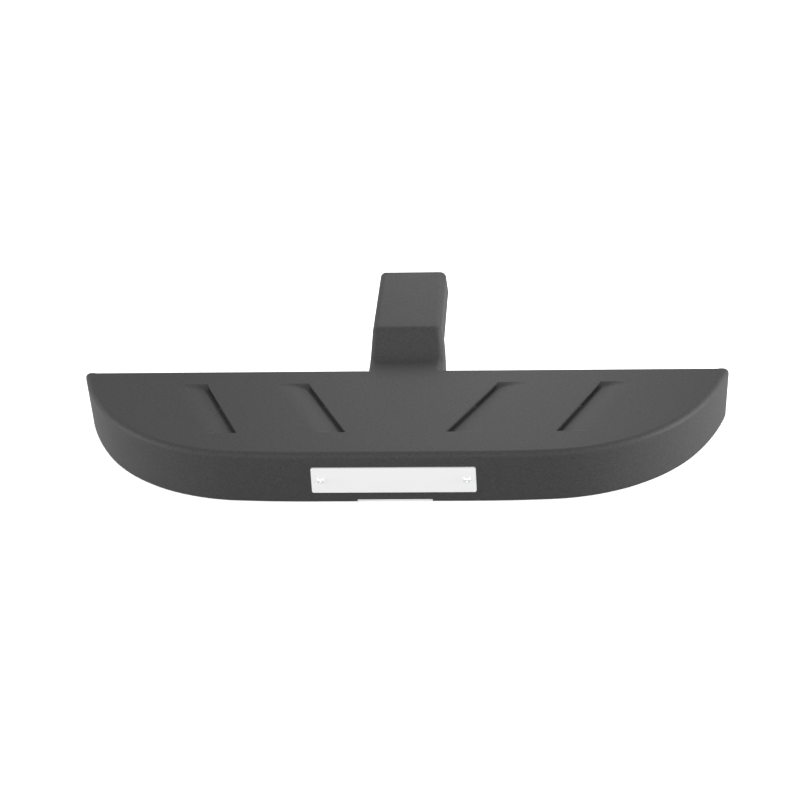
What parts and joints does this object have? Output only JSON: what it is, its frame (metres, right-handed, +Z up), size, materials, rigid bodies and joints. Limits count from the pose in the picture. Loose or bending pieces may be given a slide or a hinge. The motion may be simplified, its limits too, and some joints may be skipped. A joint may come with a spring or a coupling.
{
  "type": "hitch receiver step",
  "caption": "Pressed steel tread step with louvred deck, wrapped skirt, raised neck cover and square shank for a towing receiver",
  "frame": {"origin": "the centre of the hitch pin hole, in the middle of the square shank", "axes": "+X along the pin hole and along the width of the step, +Y towards the vehicle, +Z up"},
  "size_m": [0.9126, 0.4485, 0.1339],
  "materials": {
    "powder_coat": "black powder coat with a fine texture",
    "frame_coat": "plain black powder coat",
    "plate_metal": "pale satin, left plain",
    "screw_metal": "zinc plated"
  },
  "bodies": {
    "root": {"step_shell": "powder_coat", "receiver_shank": "frame_coat", "shank_nose_plate": "frame_coat", "left_front_tube": "frame_coat", "right_front_tube": "frame_coat", "left_rear_tube": "frame_coat", "right_rear_tube": "frame_coat", "left_diagonal_rib": "frame_coat", "right_diagonal_rib": "frame_coat", "left_shank_gusset": "frame_coat", "right_shank_gusset": "frame_coat", "left_riser_rib": "frame_coat", "right_riser_rib": "frame_coat", "badge_plate": "plate_metal", "badge_screws": "screw_metal", "badge_washers": "screw_metal", "badge_nuts": "screw_metal"}
  },
  "joints": []
}
